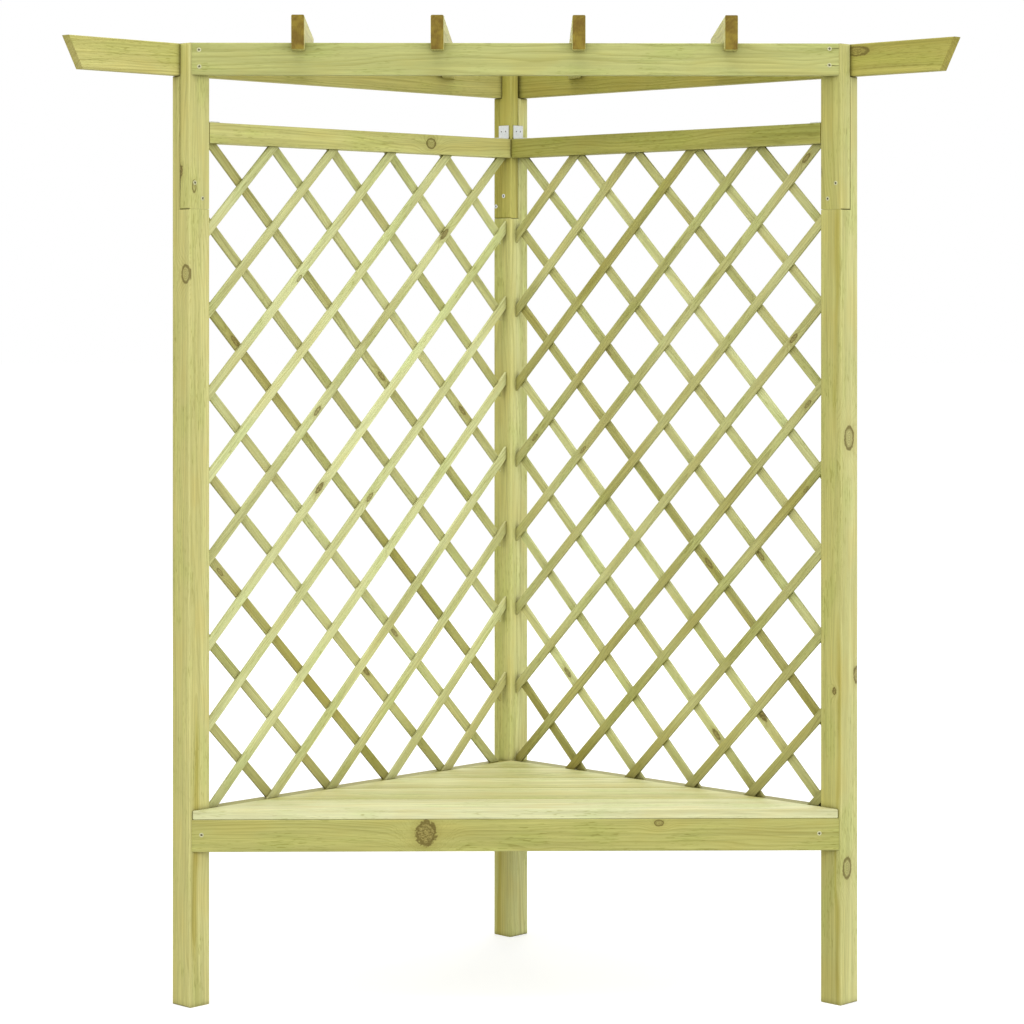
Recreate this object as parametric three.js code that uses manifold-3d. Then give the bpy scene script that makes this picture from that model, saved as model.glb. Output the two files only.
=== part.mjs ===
// Corner arbour seat in planed, pressure-treated softwood. Two trellis walls meet at a right
// angle behind a triangular slatted seat, and four rafters lie across the top.
//
// Millimetres, +Z up, open side towards -Y. In a wall, "along" is the distance from the outer
// back corner and "deep" is the distance in from the outer face. The finished group stands on
// z = 0, centred over the middle of its plan.

import * as THREE from 'three';
import { mergeVertices } from 'three/addons/utils/BufferGeometryUtils.js';
import Module from 'manifold-3d';

const wasm = await Module();
wasm.setup();

// Clearance between pieces that touch, overrun of the cuts, and steps on an eased arris
const fit = 0.3;
const overrun = 60;
const easeSteps = 2;

// Posts: square, with the top part spliced on by a half lap that starts this far below the top
const postSide = 53;
const postEase = 3;
const wallLength = 969;
const spliceDrop = 330;

// Beams: the side beams, the front beam and the apron under the seat are one stock
const beamThick = 23;
const beamHigh = 64;
const beamEase = 2;
const frameTop = 1915;
const sideBeamLong = 1220;
const sideBeamRake = 34;
const frontSetback = 4;

// Rafters: notched over the front beam, where they sit down by rafterSeat, and deeper over the
// side beams
const rafterThick = 26;
const rafterHigh = 68;
const rafterEase = 2.5;
const rafterSeat = 15;
const rafterFall = 16;
const rafterOverhang = 30;
const rafterPitch = 286;
const rafterOffset = -2.5;
const rafterFrontShares = [-1.5, -0.537, 0.444, 1.5];
const rafterRearShares = [-1.495, -0.467, 0.488, 1.497];

// Trellis: square rails between the posts, the top one this far below the top of the frame and
// the bottom one sunk this far below the top of the seat, with crossed laths in two layers
const railSide = 41;
const railEase = 2;
const railDrop = 156;
const railSink = 3.5;
const lathWide = 19;
const lathThick = 6;
const lathBite = 0.4;
const cellWide = 166;

// Seat: boards laid across the corner, on the apron, two wall bearers and a middle batten. The
// last board is a triangle, and boardTipShare is its depth as a share of a full board's width.
const seatTop = 391;
const boardThick = 18;
const boardCount = 5;
const boardGap = 3;
const boardEase = 2;
const boardTipShare = 0.8;
const seatGap = 2;
const bearerThick = 23;
const bearerHigh = 41;
const bearerEase = 1.5;

// Angle brackets at the rail ends
const bracketLeg = 30;
const bracketWide = 30;
const bracketThick = 2;
const bracketBend = 2;
const holeSide = 4.5;
const holeSpacing = 13;
const holeReach = 17;
const holeSteps = 12;
const bendSteps = 3;

// Levels and planes that follow from the sizes above
const spliceHeight = frameTop - spliceDrop;
const beamBottom = frameTop - beamHigh;
const railTop = frameTop - railDrop;
const lowRailTop = seatTop - railSink;
const rafterTop = frameTop + rafterHigh - rafterSeat;
const boardBottom = seatTop - boardThick;
const panelWide = wallLength - 2 * postSide;
const panelHigh = railTop - railSide - lowRailTop;
const latticeDeep = postSide - railSide / 2;
const beamFace = -(wallLength + postSide) / Math.SQRT2 + frontSetback;
const beamBack = beamFace + beamThick;
const bearerFrom = postSide + fit;
const bearerTo = bearerFrom + bearerThick;

const eighth = Math.PI / 4;
const walls = {
  left: { turn: -3 * eighth, inward: 1 },
  right: { turn: -eighth, inward: -1 },
};

function timber(colour) {
  return new THREE.MeshStandardMaterial({ color: colour, roughness: 0.72, metalness: 0 });
}

const looks = {
  post: timber(0xbfb983),
  beam: timber(0xc4c184),
  rafter: timber(0xa79650),
  rail: timber(0xb7b270),
  lath: timber(0xc3c386),
  board: timber(0xd0cf98),
  bearer: timber(0xa8a163),
  bracket: new THREE.MeshStandardMaterial({ color: 0xcfd2cb, roughness: 0.38, metalness: 0.9 }),
};

// Eased timber: an outline of [x, y] points given a thickness along z
function plank(points, thick, ease) {
  const shape = new THREE.Shape(points.map(([x, y]) => new THREE.Vector2(x, y)));
  const geometry = new THREE.ExtrudeGeometry(shape, {
    depth: thick - 2 * ease,
    bevelThickness: ease,
    bevelSize: ease,
    bevelOffset: -ease,
    bevelSegments: easeSteps,
  });
  return geometry.translate(0, 0, ease);
}

// The same with [x, z] points, the thickness running from y = 0 towards the wall's inside
function plankAcross(points, thick, ease, inward) {
  const geometry = plank(points, thick, ease).rotateX(Math.PI / 2);
  return geometry.translate(0, inward > 0 ? thick : 0, 0);
}

// The same with [y, z] points, the length running along x
function plankAlong(points, long, ease) {
  const basis = new THREE.Matrix4().makeBasis(
    new THREE.Vector3(0, 1, 0),
    new THREE.Vector3(0, 0, 1),
    new THREE.Vector3(1, 0, 0),
  );
  return plank(points, long, ease).applyMatrix4(basis);
}

function rectangle(x0, y0, x1, y1) {
  return [[x0, y0], [x1, y0], [x1, y1], [x0, y1]];
}

function solidOf(geometry) {
  const bare = new THREE.BufferGeometry();
  bare.setAttribute('position', geometry.getAttribute('position'));
  bare.setIndex(geometry.getIndex());
  const merged = mergeVertices(bare);
  return new wasm.Manifold(new wasm.Mesh({
    numProp: 3,
    vertProperties: new Float32Array(merged.getAttribute('position').array),
    triVerts: new Uint32Array(merged.getIndex().array),
  }));
}

function geometryOf(solid) {
  const mesh = solid.getMesh();
  const geometry = new THREE.BufferGeometry();
  geometry.setAttribute('position', new THREE.BufferAttribute(mesh.vertProperties, mesh.numProp));
  geometry.setIndex(new THREE.BufferAttribute(mesh.triVerts, 1));
  geometry.computeVertexNormals();
  return geometry;
}

// A box between two corners
function block(x0, y0, z0, x1, y1, z1) {
  const geometry = new THREE.BoxGeometry(x1 - x0, y1 - y0, z1 - z0);
  return geometry.translate((x0 + x1) / 2, (y0 + y1) / 2, (z0 + z1) / 2);
}

function add(group, name, geometry, look, x, y, z) {
  const mesh = new THREE.Mesh(geometry, look);
  mesh.name = name;
  mesh.position.set(x, y, z);
  group.add(mesh);
  return mesh;
}

// The front post's lower part ends in a tongue that carries the side beam, and its upper part
// fills the rest of the section up to the top of the beam.
function addFrontPost(group, side, inward) {
  const start = wallLength - postSide;
  const tongueTop = beamBottom - fit;
  const lower = [
    [0, 0],
    [inward * postSide, 0],
    [inward * postSide, spliceHeight],
    [inward * beamThick, spliceHeight],
    [inward * beamThick, tongueTop],
    [0, tongueTop],
  ];
  const from = beamThick + fit;
  const upper = rectangle(inward * from, spliceHeight + fit, inward * postSide, frameTop);
  const lowerPart = plankAlong(lower, postSide, postEase);
  const upperPart = plankAlong(upper, postSide, postEase);
  add(group, `${side}_post_lower`, lowerPart, looks.post, start, 0, 0);
  add(group, `${side}_post_upper`, upperPart, looks.post, start, 0, 0);
}

// The side beam stands on the tongues of its two posts. The left beam stops against the right
// one at the back corner, and each front end is cut on a rake.
function addSideBeam(group, side, inward) {
  const lap = side === 'left' ? beamThick : 0;
  const start = side === 'left' ? lap + fit : 0;
  const end = lap + sideBeamLong;
  const profile = [
    [start, beamBottom],
    [end - sideBeamRake, beamBottom],
    [end, frameTop],
    [start, frameTop],
  ];
  const beam = plankAcross(profile, beamThick, beamEase, inward);
  add(group, `${side}_side_beam`, beam, looks.beam, 0, 0, 0);
}

function addRail(group, name, inward, bottom) {
  const deep = inward * (postSide - railSide);
  const section = rectangle(deep, bottom, inward * postSide, bottom + railSide);
  const rail = plankAlong(section, panelWide - 2 * fit, railEase);
  add(group, name, rail, looks.rail, postSide + fit, 0, 0);
}

// One lath, lying in the x-z plane through a point of the top rail's underside
function lathSolid(x, lean, layer, reach, slope) {
  const near = layer > 0 ? -lathBite / 2 : -lathThick;
  const far = layer > 0 ? lathThick : lathBite / 2;
  const strip = block(-reach, near, -lathWide / 2, reach, far, lathWide / 2);
  strip.rotateY(lean * slope);
  strip.translate(x, 0, panelHigh);
  return solidOf(strip);
}

// The laths cross at 45 degrees, nearly: the cells are a little taller than wide, so that a
// whole number of them fits between the rails. The inner layer leans the same way as seen from
// the front in both walls.
function addLattice(group, side, inward) {
  const columns = Math.floor(panelWide / cellWide);
  const rows = Math.round(panelHigh / cellWide);
  const slope = Math.atan2(panelHigh / rows, cellWide);
  const first = (panelWide - columns * cellWide) / 2;
  const reach = panelHigh / Math.sin(slope) + lathWide;
  const innerLean = inward;
  const laths = [];
  for (let step = -rows; step <= columns + rows; step += 1) {
    const x = first + step * cellWide;
    for (const layer of [1, -1]) {
      laths.push(lathSolid(x, innerLean * layer, layer * inward, reach, slope));
    }
  }
  const sheet = solidOf(block(fit, -lathThick, fit, panelWide - fit, lathThick, panelHigh - fit));
  const lattice = geometryOf(wasm.Manifold.union(laths).intersect(sheet));
  const deep = inward * latticeDeep;
  add(group, `${side}_lattice`, lattice, looks.lath, postSide, deep, lowRailTop);
}

// An angle bracket with two screw holes in each leg, one leg up a post and one along a rail
function bracketSolid(alongSign, upSign) {
  const bend = bracketThick + bracketBend;
  const shape = new THREE.Shape();
  shape.moveTo(bracketLeg, 0);
  shape.lineTo(bracketLeg, bracketThick);
  shape.lineTo(bend, bracketThick);
  shape.absarc(bend, bend, bracketBend, -2 * eighth, -4 * eighth, true);
  shape.lineTo(bracketThick, bracketLeg);
  shape.lineTo(0, bracketLeg);
  shape.lineTo(0, bend);
  shape.absarc(bend, bend, bend, 4 * eighth, 6 * eighth, false);
  shape.closePath();
  const strip = new THREE.ExtrudeGeometry(shape, {
    depth: bracketWide,
    bevelEnabled: false,
    curveSegments: bendSteps,
  });
  strip.rotateX(2 * eighth).translate(0, bracketWide / 2, 0);
  let solid = solidOf(strip);
  for (const across of [-holeSpacing / 2, holeSpacing / 2]) {
    const drill = new THREE.CylinderGeometry(holeSide / 2, holeSide / 2, bracketLeg, holeSteps);
    const upright = drill.clone().rotateX(2 * eighth).translate(holeReach, across, 0);
    const level = drill.clone().rotateZ(2 * eighth).translate(0, across, holeReach);
    solid = solid.subtract(solidOf(upright)).subtract(solidOf(level));
  }
  return solid.scale([alongSign, 1, upSign]);
}

// Brackets stand on the top rail and hang under the bottom rail, at both ends of each
function addBrackets(group, side, inward) {
  const levels = [
    { word: 'top', up: railTop + fit, sign: 1 },
    { word: 'bottom', up: lowRailTop - railSide - fit, sign: -1 },
  ];
  const ends = [
    { word: 'back', along: postSide + fit, sign: 1 },
    { word: 'front', along: wallLength - postSide - fit, sign: -1 },
  ];
  for (const level of levels) {
    for (const end of ends) {
      const name = `${side}_${level.word}_${end.word}_bracket`;
      const bracket = geometryOf(bracketSolid(end.sign, level.sign));
      add(group, name, bracket, looks.bracket, end.along, inward * latticeDeep, level.up);
    }
  }
}

// The bearers run along the walls under the ends of the boards, cut to meet the apron, and
// the right one stops against the left one.
function addBearer(group, side, inward) {
  const meet = -(beamBack + fit) * Math.SQRT2;
  const start = side === 'left' ? postSide + fit : bearerTo + fit;
  const plan = [
    [start, inward * bearerFrom],
    [meet - bearerFrom, inward * bearerFrom],
    [meet - bearerTo, inward * bearerTo],
    [start, inward * bearerTo],
  ];
  const bearer = plank(plan, bearerHigh, bearerEase);
  const up = boardBottom - fit - bearerHigh;
  add(group, `${side}_seat_bearer`, bearer, looks.bearer, 0, 0, up);
}

function wallGroup(side) {
  const { turn, inward } = walls[side];
  const group = new THREE.Group();
  group.rotation.z = turn;
  addFrontPost(group, side, inward);
  addSideBeam(group, side, inward);
  addRail(group, `${side}_top_rail`, inward, railTop - railSide);
  addRail(group, `${side}_bottom_rail`, inward, lowRailTop - railSide);
  addLattice(group, side, inward);
  addBrackets(group, side, inward);
  addBearer(group, side, inward);
  return group;
}

// The back post stands in the corner that both walls share. Its upper part is as thick as a
// beam, and is notched for the left side beam.
function backPostGroup() {
  const group = new THREE.Group();
  group.rotation.z = walls.left.turn;
  const seam = postSide - beamThick;
  const tongueTop = beamBottom - fit;
  const lower = [
    [0, 0],
    [postSide, 0],
    [postSide, spliceHeight],
    [seam - fit, spliceHeight],
    [seam - fit, tongueTop],
    [0, tongueTop],
  ];
  const upper = [
    [0, spliceHeight + fit],
    [postSide, spliceHeight + fit],
    [postSide, frameTop],
    [beamThick + fit, frameTop],
    [beamThick + fit, tongueTop],
    [0, tongueTop],
  ];
  const lowerPart = plankAcross(lower, postSide, postEase, 1);
  const upperPart = plankAlong(upper, beamThick, postEase);
  add(group, 'back_post_lower', lowerPart, looks.post, 0, 0, 0);
  add(group, 'back_post_upper', upperPart, looks.post, seam, 0, 0);
  return group;
}

// Half the width between the walls at a distance y in front of the corner, which is negative
function halfWidth(y, gap) {
  return -y - (postSide + gap) * Math.SQRT2;
}

// The front beam and the apron span the opening, with their ends mitred to the posts
function addCrossBeam(group, name, bottom) {
  const front = halfWidth(beamFace, fit);
  const back = halfWidth(beamBack, fit);
  const plan = [[-front, beamFace], [front, beamFace], [back, beamBack], [-back, beamBack]];
  add(group, name, plank(plan, beamHigh, beamEase), looks.beam, 0, 0, bottom);
}

// Boards fill the corner from the front edge back, and the last one is a triangle
function addSeat(group) {
  const apex = -(postSide + seatGap) * Math.SQRT2;
  const timberDeep = apex - beamFace - (boardCount - 1) * boardGap;
  const boardWide = timberDeep / (boardCount - 1 + boardTipShare);
  for (let row = 0; row < boardCount; row += 1) {
    const front = beamFace + row * (boardWide + boardGap);
    const back = front + boardWide;
    const near = halfWidth(front, seatGap);
    const far = halfWidth(back, seatGap);
    const rear = back < apex ? [[far, back], [-far, back]] : [[0, apex]];
    const plan = [[-near, front], [near, front], ...rear];
    const board = plank(plan, boardThick, boardEase);
    add(group, `seat_board_${row + 1}`, board, looks.board, 0, 0, boardBottom);
  }
}

// The middle batten ties the boards together and ends in a point between the two bearers
function addBatten(group) {
  const half = bearerHigh / 2;
  const front = beamBack + fit;
  const point = -(bearerTo + fit) * Math.SQRT2;
  const shoulder = point - half;
  const plan = [[-half, front], [half, front], [half, shoulder], [0, point], [-half, shoulder]];
  const up = boardBottom - fit - bearerThick;
  add(group, 'seat_middle_batten', plank(plan, bearerThick, bearerEase), looks.bearer, 0, 0, up);
}

// What a rafter is cut by: the front beam, the two side beams, and all beyond their outer faces
function rafterCutters() {
  const span = wallLength + sideBeamLong;
  const high = frameTop + fit;
  const low = rafterTop - rafterFall - rafterHigh - overrun;
  const top = rafterTop + overrun;
  const cutters = [block(-span, beamFace - fit, low, span, beamBack + fit, high)];
  for (const { turn, inward } of Object.values(walls)) {
    const sides = [[beamThick + fit, high], [0, top]];
    for (const [deep, level] of sides) {
      const from = Math.min(-inward * span, inward * deep);
      const to = Math.max(-inward * span, inward * deep);
      cutters.push(block(-span, from, low, span, to, level).rotateZ(turn));
    }
  }
  return cutters;
}

// Rafters slope down to the rear, and are cut off flush with the side beams
function addRafter(group, index) {
  const x = rafterOffset + rafterFrontShares[index] * rafterPitch;
  const rear = rafterOffset + rafterRearShares[index] * rafterPitch;
  const y = beamFace - rafterOverhang;
  const long = -y - Math.abs(rear);
  const skew = Math.atan2(rear - x, long);
  const reach = long + rafterThick;
  const fall = (rafterFall * reach) / long;
  const profile = [
    [0, rafterTop - rafterHigh],
    [reach, rafterTop - rafterHigh - fall],
    [reach, rafterTop - fall],
    [0, rafterTop],
  ];
  const stick = plankAlong(profile, rafterThick, rafterEase).translate(-rafterThick / 2, 0, 0);
  const toStick = new THREE.Matrix4().makeRotationZ(-skew).setPosition(x, y, 0).invert();
  let solid = solidOf(stick);
  for (const cutter of rafterCutters()) {
    solid = solid.subtract(solidOf(cutter.applyMatrix4(toStick)));
  }
  const mesh = add(group, `rafter_${index + 1}`, geometryOf(solid), looks.rafter, x, y, 0);
  mesh.rotation.z = -skew;
}

const arbour = new THREE.Group();
arbour.name = 'arbour_seat';
arbour.add(wallGroup('left'), wallGroup('right'), backPostGroup());
addCrossBeam(arbour, 'front_beam', beamBottom);
addCrossBeam(arbour, 'seat_apron', boardBottom - fit - beamHigh);
addSeat(arbour);
addBatten(arbour);
rafterFrontShares.forEach((share, index) => addRafter(arbour, index));

const extent = new THREE.Box3().setFromObject(arbour, true);
const middle = extent.getCenter(new THREE.Vector3());
arbour.position.set(-middle.x, -middle.y, -extent.min.z);

export default arbour;
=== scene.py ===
# Looks of the corner arbour seat: green-tinted, pressure-treated softwood with its grain, knots
# and end grain, separate trellis laths, zinc brackets, screws and staples. Metres, +Z up.
import math
import random

import bmesh
import bpy
from mathutils import Matrix, Vector


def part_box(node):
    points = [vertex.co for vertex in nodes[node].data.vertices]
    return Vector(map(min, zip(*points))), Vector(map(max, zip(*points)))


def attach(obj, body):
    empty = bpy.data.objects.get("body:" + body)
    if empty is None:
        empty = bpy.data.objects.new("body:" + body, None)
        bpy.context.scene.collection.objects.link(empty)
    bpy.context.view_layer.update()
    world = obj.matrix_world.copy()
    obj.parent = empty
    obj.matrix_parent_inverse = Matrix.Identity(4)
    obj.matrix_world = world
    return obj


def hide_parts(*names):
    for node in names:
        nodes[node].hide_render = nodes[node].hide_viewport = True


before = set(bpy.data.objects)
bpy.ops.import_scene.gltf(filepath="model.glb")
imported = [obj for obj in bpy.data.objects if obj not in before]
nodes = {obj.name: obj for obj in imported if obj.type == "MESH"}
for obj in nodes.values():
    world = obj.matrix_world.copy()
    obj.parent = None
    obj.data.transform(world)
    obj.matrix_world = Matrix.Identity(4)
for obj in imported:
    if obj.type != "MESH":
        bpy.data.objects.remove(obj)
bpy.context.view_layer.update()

MM = 0.001
HALF_ROOT = math.sqrt(0.5)

# Sizes that the finish follows, as in the construction
POST_SIDE = 0.053
WALL_LENGTH = 0.969
BEAM_THICK = 0.023
RAIL_SIDE = 0.041
LATH_WIDE = 0.019
LATH_THICK = 0.006
CELL_WIDE = 0.166
FIT = 0.0003

# A post's inner face, counted in from the wall's outer face, its front face, counted along the
# wall, and the plane in the middle of the rails, where the two layers of laths meet
INNER_FACE = POST_SIDE
FRONT_FACE = WALL_LENGTH
RAIL_MIDDLE = POST_SIDE - RAIL_SIDE / 2

# The corner line is the outer back edge, where the two walls' outer faces meet
post_low, post_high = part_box("back_post_lower")
CORNER = Vector((
    (post_low.x + post_high.x) / 2,
    (post_low.y + post_high.y) / 2 + POST_SIDE * HALF_ROOT,
    0.0,
))
UP = Vector((0.0, 0.0, 1.0))
RIGHTWARD = Vector((1.0, 0.0, 0.0))
REARWARD = Vector((0.0, 1.0, 0.0))
ALONG = {
    "left": Vector((-HALF_ROOT, -HALF_ROOT, 0.0)),
    "right": Vector((HALF_ROOT, -HALF_ROOT, 0.0)),
}
INWARD = {"left": ALONG["right"], "right": ALONG["left"]}
SIDES = ("left", "right")
BEAM_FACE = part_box("front_beam")[0].y
RAFTERS = ("rafter_1", "rafter_2", "rafter_3", "rafter_4")


def wall_point(side, along, deep, height):
    """A point of a wall: along it from the corner, in from its outer face, and up."""
    return CORNER + ALONG[side] * along + INWARD[side] * deep + UP * height


def paint(red, green, blue):
    """A colour as a screen shows it, 0 to 255, as the linear value that a shader takes."""
    values = []
    for part in (red, green, blue):
        share = part / 255
        values.append(share / 12.92 if share <= 0.04045 else ((share + 0.055) / 1.055) ** 2.4)
    return (*values, 1.0)


def shaded(colour, *shares):
    """A colour with its red, green and blue each multiplied by a share."""
    return (*(part * share for part, share in zip(colour, shares)), 1.0)


def in_scene(name, data):
    """A new object in the scene."""
    thing = bpy.data.objects.new(name, data)
    bpy.context.scene.collection.objects.link(thing)
    return thing


def mesh_in_scene(name, shape, *materials):
    """A new object made from a bmesh, which is used up."""
    data = bpy.data.meshes.new(name)
    shape.to_mesh(data)
    shape.free()
    for material in materials:
        data.materials.append(material)
    return in_scene(name, data)


def coat_node(name, material):
    """Gives a CAD object one material."""
    slots = nodes[name].data.materials
    slots.clear()
    slots.append(material)


class Graph:
    """Shader nodes written as a formula: each call adds a node and returns what it puts out."""

    def __init__(self, tree):
        self.tree = tree

    def put(self, socket, value):
        if isinstance(value, bpy.types.NodeSocket):
            self.tree.links.new(value, socket)
        else:
            socket.default_value = value

    def node(self, kind, inputs=(), **settings):
        made = self.tree.nodes.new(kind)
        for key, value in settings.items():
            setattr(made, key, value)
        for key, value in dict(inputs).items():
            self.put(made.inputs[key], value)
        return made

    def math(self, operation, *values, clamp=False):
        made = self.node("ShaderNodeMath", enumerate(values), operation=operation, use_clamp=clamp)
        return made.outputs[0]

    def times(self, first, second):
        return self.math("MULTIPLY", first, second)

    def total(self, start, *parts):
        """The start and the weighted parts, each a value and its weight, added up."""
        for value, weight in parts:
            start = self.math("MULTIPLY_ADD", value, weight, start)
        return start

    def vector(self, operation, *values, out="Vector"):
        made = self.node("ShaderNodeVectorMath", enumerate(values), operation=operation)
        return made.outputs[out]

    def scale(self, vector, factor):
        inputs = {"Vector": vector, "Scale": factor}
        return self.node("ShaderNodeVectorMath", inputs, operation="SCALE").outputs[0]

    def split(self, vector):
        return self.node("ShaderNodeSeparateXYZ", {0: vector}).outputs

    def join(self, x, y, z):
        return self.node("ShaderNodeCombineXYZ", {0: x, 1: y, 2: z}).outputs[0]

    def noise(self, vector, detail=2.0, roughness=0.5, out=0):
        inputs = {"Vector": vector, "Scale": 1.0, "Detail": detail, "Roughness": roughness}
        return self.node("ShaderNodeTexNoise", inputs).outputs[out]

    def drawn_out(self, vector, along, across, detail=2.0, roughness=0.5, out=0):
        """Noise with one scale along the grain, which runs along x, and one across it."""
        drawn = self.vector("MULTIPLY", vector, (along, across, across))
        return self.noise(drawn, detail, roughness, out)

    def step(self, value, start, end, low=0.0, high=1.0):
        inputs = {0: value, 1: start, 2: end, 3: low, 4: high}
        made = self.node("ShaderNodeMapRange", inputs, interpolation_type="SMOOTHSTEP")
        return made.outputs[0]

    def mix(self, factor, first, second, blend="MIX"):
        inputs = {0: factor, 6: first, 7: second}
        made = self.node("ShaderNodeMix", inputs, data_type="RGBA", blend_type=blend)
        return made.outputs[2]

    def tint(self, factor, colour, tint):
        return self.mix(factor, colour, tint, "MULTIPLY")

    def surface(self, inputs, height=None, strength=0.0, distance=MM):
        """Sets inputs of the surface shader, with a bump where a height is given."""
        shader = self.tree.nodes["Principled BSDF"]
        for title, value in inputs.items():
            self.put(shader.inputs[title], value)
        if height is not None:
            bump = {"Height": height, "Strength": strength, "Distance": distance}
            self.put(shader.inputs["Normal"], self.node("ShaderNodeBump", bump).outputs[0])


def new_material(name):
    made = bpy.data.materials.new(name)
    made.use_nodes = True
    return made, Graph(made.node_tree)


def group_with(name, inputs, outputs):
    """An empty node group, its sockets given by kind, and the graph to fill it with."""
    tree = bpy.data.node_groups.new(name, "ShaderNodeTree")
    for way, sockets in (("INPUT", inputs), ("OUTPUT", outputs)):
        for kind, titles in sockets.items():
            for title in titles:
                tree.interface.new_socket(title, in_out=way, socket_type=f"NodeSocket{kind}")
    graph = Graph(tree)
    return graph, graph.node("NodeGroupInput").outputs, graph.node("NodeGroupOutput").inputs


# In the wood's shaders, x runs along the grain and places are in millimetres
CROSSWISE = (0.0, 1.0, 1.0)
ALL_WAYS = (1.0, 1.0, 1.0)
NOISE_MIDDLE = (0.5, 0.5, 0.5)
SEED_SHIFT = (131.7, 57.3, 91.1)

# How far slow and quick waves bend the rings, how soft the heartwood's edge is, and how far
# from an edge its wear starts and how near it is full
RING_BEND = 44.0
RING_RIPPLE = 5.0
HEART_SOFT = 4.0
WEAR_START = 2.6
WEAR_FULL = 0.6

# Late wood darkens up to this share of a ring's width, and ends beyond it
LATE_SHARE = 0.92

# What multiplies the stain on the pith's side, darker partly as painted shade, on the bark's side,
# paler partly as painted light, in green clouds, in tan clouds, in torn flecks and in heartwood
PITH_SIDE_AND_SHADE_TINT = (0.88, 0.87, 0.76, 1.0)
BARK_SIDE_AND_LIGHT_TINT = (1.11, 1.13, 1.28, 1.0)
GREEN_TINT = (0.84, 0.95, 0.74, 1.0)
TAN_TINT = (0.98, 0.88, 0.72, 1.0)
FLECK_TINT = (0.66, 0.64, 0.46, 1.0)
HEART_TINT = (0.8, 0.75, 0.5, 1.0)

# What covers the stain on worn arrises, on cut ends, at knots and splits, and in creases, where it
# is dirt and painted shade
WORN = paint(226, 226, 176)
END_DARK = paint(110, 84, 22)
END_PALE = paint(146, 126, 42)
END_RING = paint(92, 66, 20)
END_PORE = paint(144, 128, 54)
KNOT_HALO = paint(150, 138, 66)
KNOT_DARK = paint(84, 66, 24)
KNOT_PALE = paint(172, 158, 90)
KNOT_RIM = paint(98, 84, 34)
SPLIT_DARK = paint(58, 50, 20)
CREASE_DIRT_AND_SHADE = paint(96, 88, 34)

# How near another surface the dirt and painted shade in creases reach, in metres
CREASE_DIRT_AND_SHADE_REACH = 0.014

# The masks that marks on the wood give on from one to the next
KNOT_MASKS = ("Swell", "Knot", "Rim", "Halo")
SPLIT_MASKS = ("Split",)


def growth_rings(graph, given, moved):
    """The distance from the pith, bent by waves, and how dark the late wood is there."""
    place = given["Position"]
    slow = graph.drawn_out(moved, 0.0021, 0.012, 2.0, 0.45, 1)
    quick = graph.drawn_out(moved, 0.009, 0.045)
    bend = graph.vector("SUBTRACT", slow, NOISE_MIDDLE)
    bend = graph.vector("MULTIPLY", bend, (0.0, RING_BEND, RING_BEND))
    drift = graph.scale(given["Drift"], graph.split(place)[0])
    away = graph.vector("SUBTRACT", graph.vector("SUBTRACT", place, given["Pith"]), drift)
    spread = graph.vector("MULTIPLY", graph.vector("ADD", away, bend), CROSSWISE)
    radius = graph.math("ADD", graph.vector("LENGTH", spread, out="Value"), given["Swell"])
    radius = graph.total(radius, (quick, RING_RIPPLE))

    # Rings of uneven width, pale in early wood and dark at the late edge, some darker than others
    wave = graph.math("SINE", graph.total(given["Seed"], (radius, 0.21)))
    turns = graph.math("DIVIDE", graph.total(radius, (wave, 1.6)), given["Ring"])
    share = graph.math("FRACT", turns)
    rise = graph.math("POWER", graph.step(share, 0.2, LATE_SHARE), 1.5)
    late = graph.times(rise, graph.step(share, LATE_SHARE, 1.0, 1.0, 0.0))
    count = graph.math("ADD", graph.math("FLOOR", turns), given["Seed"])
    chance = graph.node("ShaderNodeTexWhiteNoise", {"W": count}, noise_dimensions="1D").outputs[0]
    return radius, graph.times(late, graph.total(0.25, (chance, 0.9)))


def stained(graph, given, moved, radius, lines, fibre, streak):
    """The stain with its rings and bands, heartwood, a paler side that is partly painted light,
    green and tan clouds, greyer threads, and the dark flecks where a planer tore the grain."""
    thread = graph.drawn_out(moved, 0.007, 0.42, 2.0, 0.55)
    band = graph.drawn_out(moved, 0.0016, 0.05)
    cloud = graph.drawn_out(moved, 0.007, 0.02)
    fleck = graph.drawn_out(moved, 0.05, 0.5, 1.0)

    colour = graph.mix(lines, given["Pale"], given["Dark"])
    deeper = graph.times(graph.step(band, 0.44, 0.66, 0.0, 0.55), given["Contrast"])
    colour = graph.mix(deeper, colour, given["Dark"])
    inner = graph.math("SUBTRACT", given["Heart reach"], HEART_SOFT)
    outer = graph.math("ADD", given["Heart reach"], HEART_SOFT)
    colour = graph.tint(graph.step(radius, inner, outer, 1.0, 0.0), colour, HEART_TINT)

    # One side paler and the other darker, partly as sapwood and partly as painted light and shade on
    # the faces
    bark_and_light_side = graph.vector("DOT_PRODUCT", given["Position"], given["Sap"], out="Value")
    bark_and_light_side = graph.math("ADD", bark_and_light_side, 0.5, clamp=True)
    colour = graph.tint(1.0, colour, graph.mix(bark_and_light_side, PITH_SIDE_AND_SHADE_TINT, BARK_SIDE_AND_LIGHT_TINT))
    colour = graph.tint(graph.step(cloud, 0.48, 0.7, 0.0, 0.4), colour, GREEN_TINT)
    colour = graph.tint(graph.step(cloud, 0.5, 0.3, 0.0, 0.4), colour, TAN_TINT)
    grey = graph.times(graph.total(0.78, (streak, 0.44)), graph.total(0.87, (fibre, 0.26)))
    grey = graph.times(grey, graph.total(0.82, (thread, 0.36)))
    colour = graph.tint(1.0, colour, graph.join(grey, grey, grey))
    fleck = graph.times(graph.step(fleck, 0.57, 0.7, 0.0, 0.75), graph.step(cloud, 0.4, 0.62))
    return graph.tint(fleck, colour, FLECK_TINT)


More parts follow.
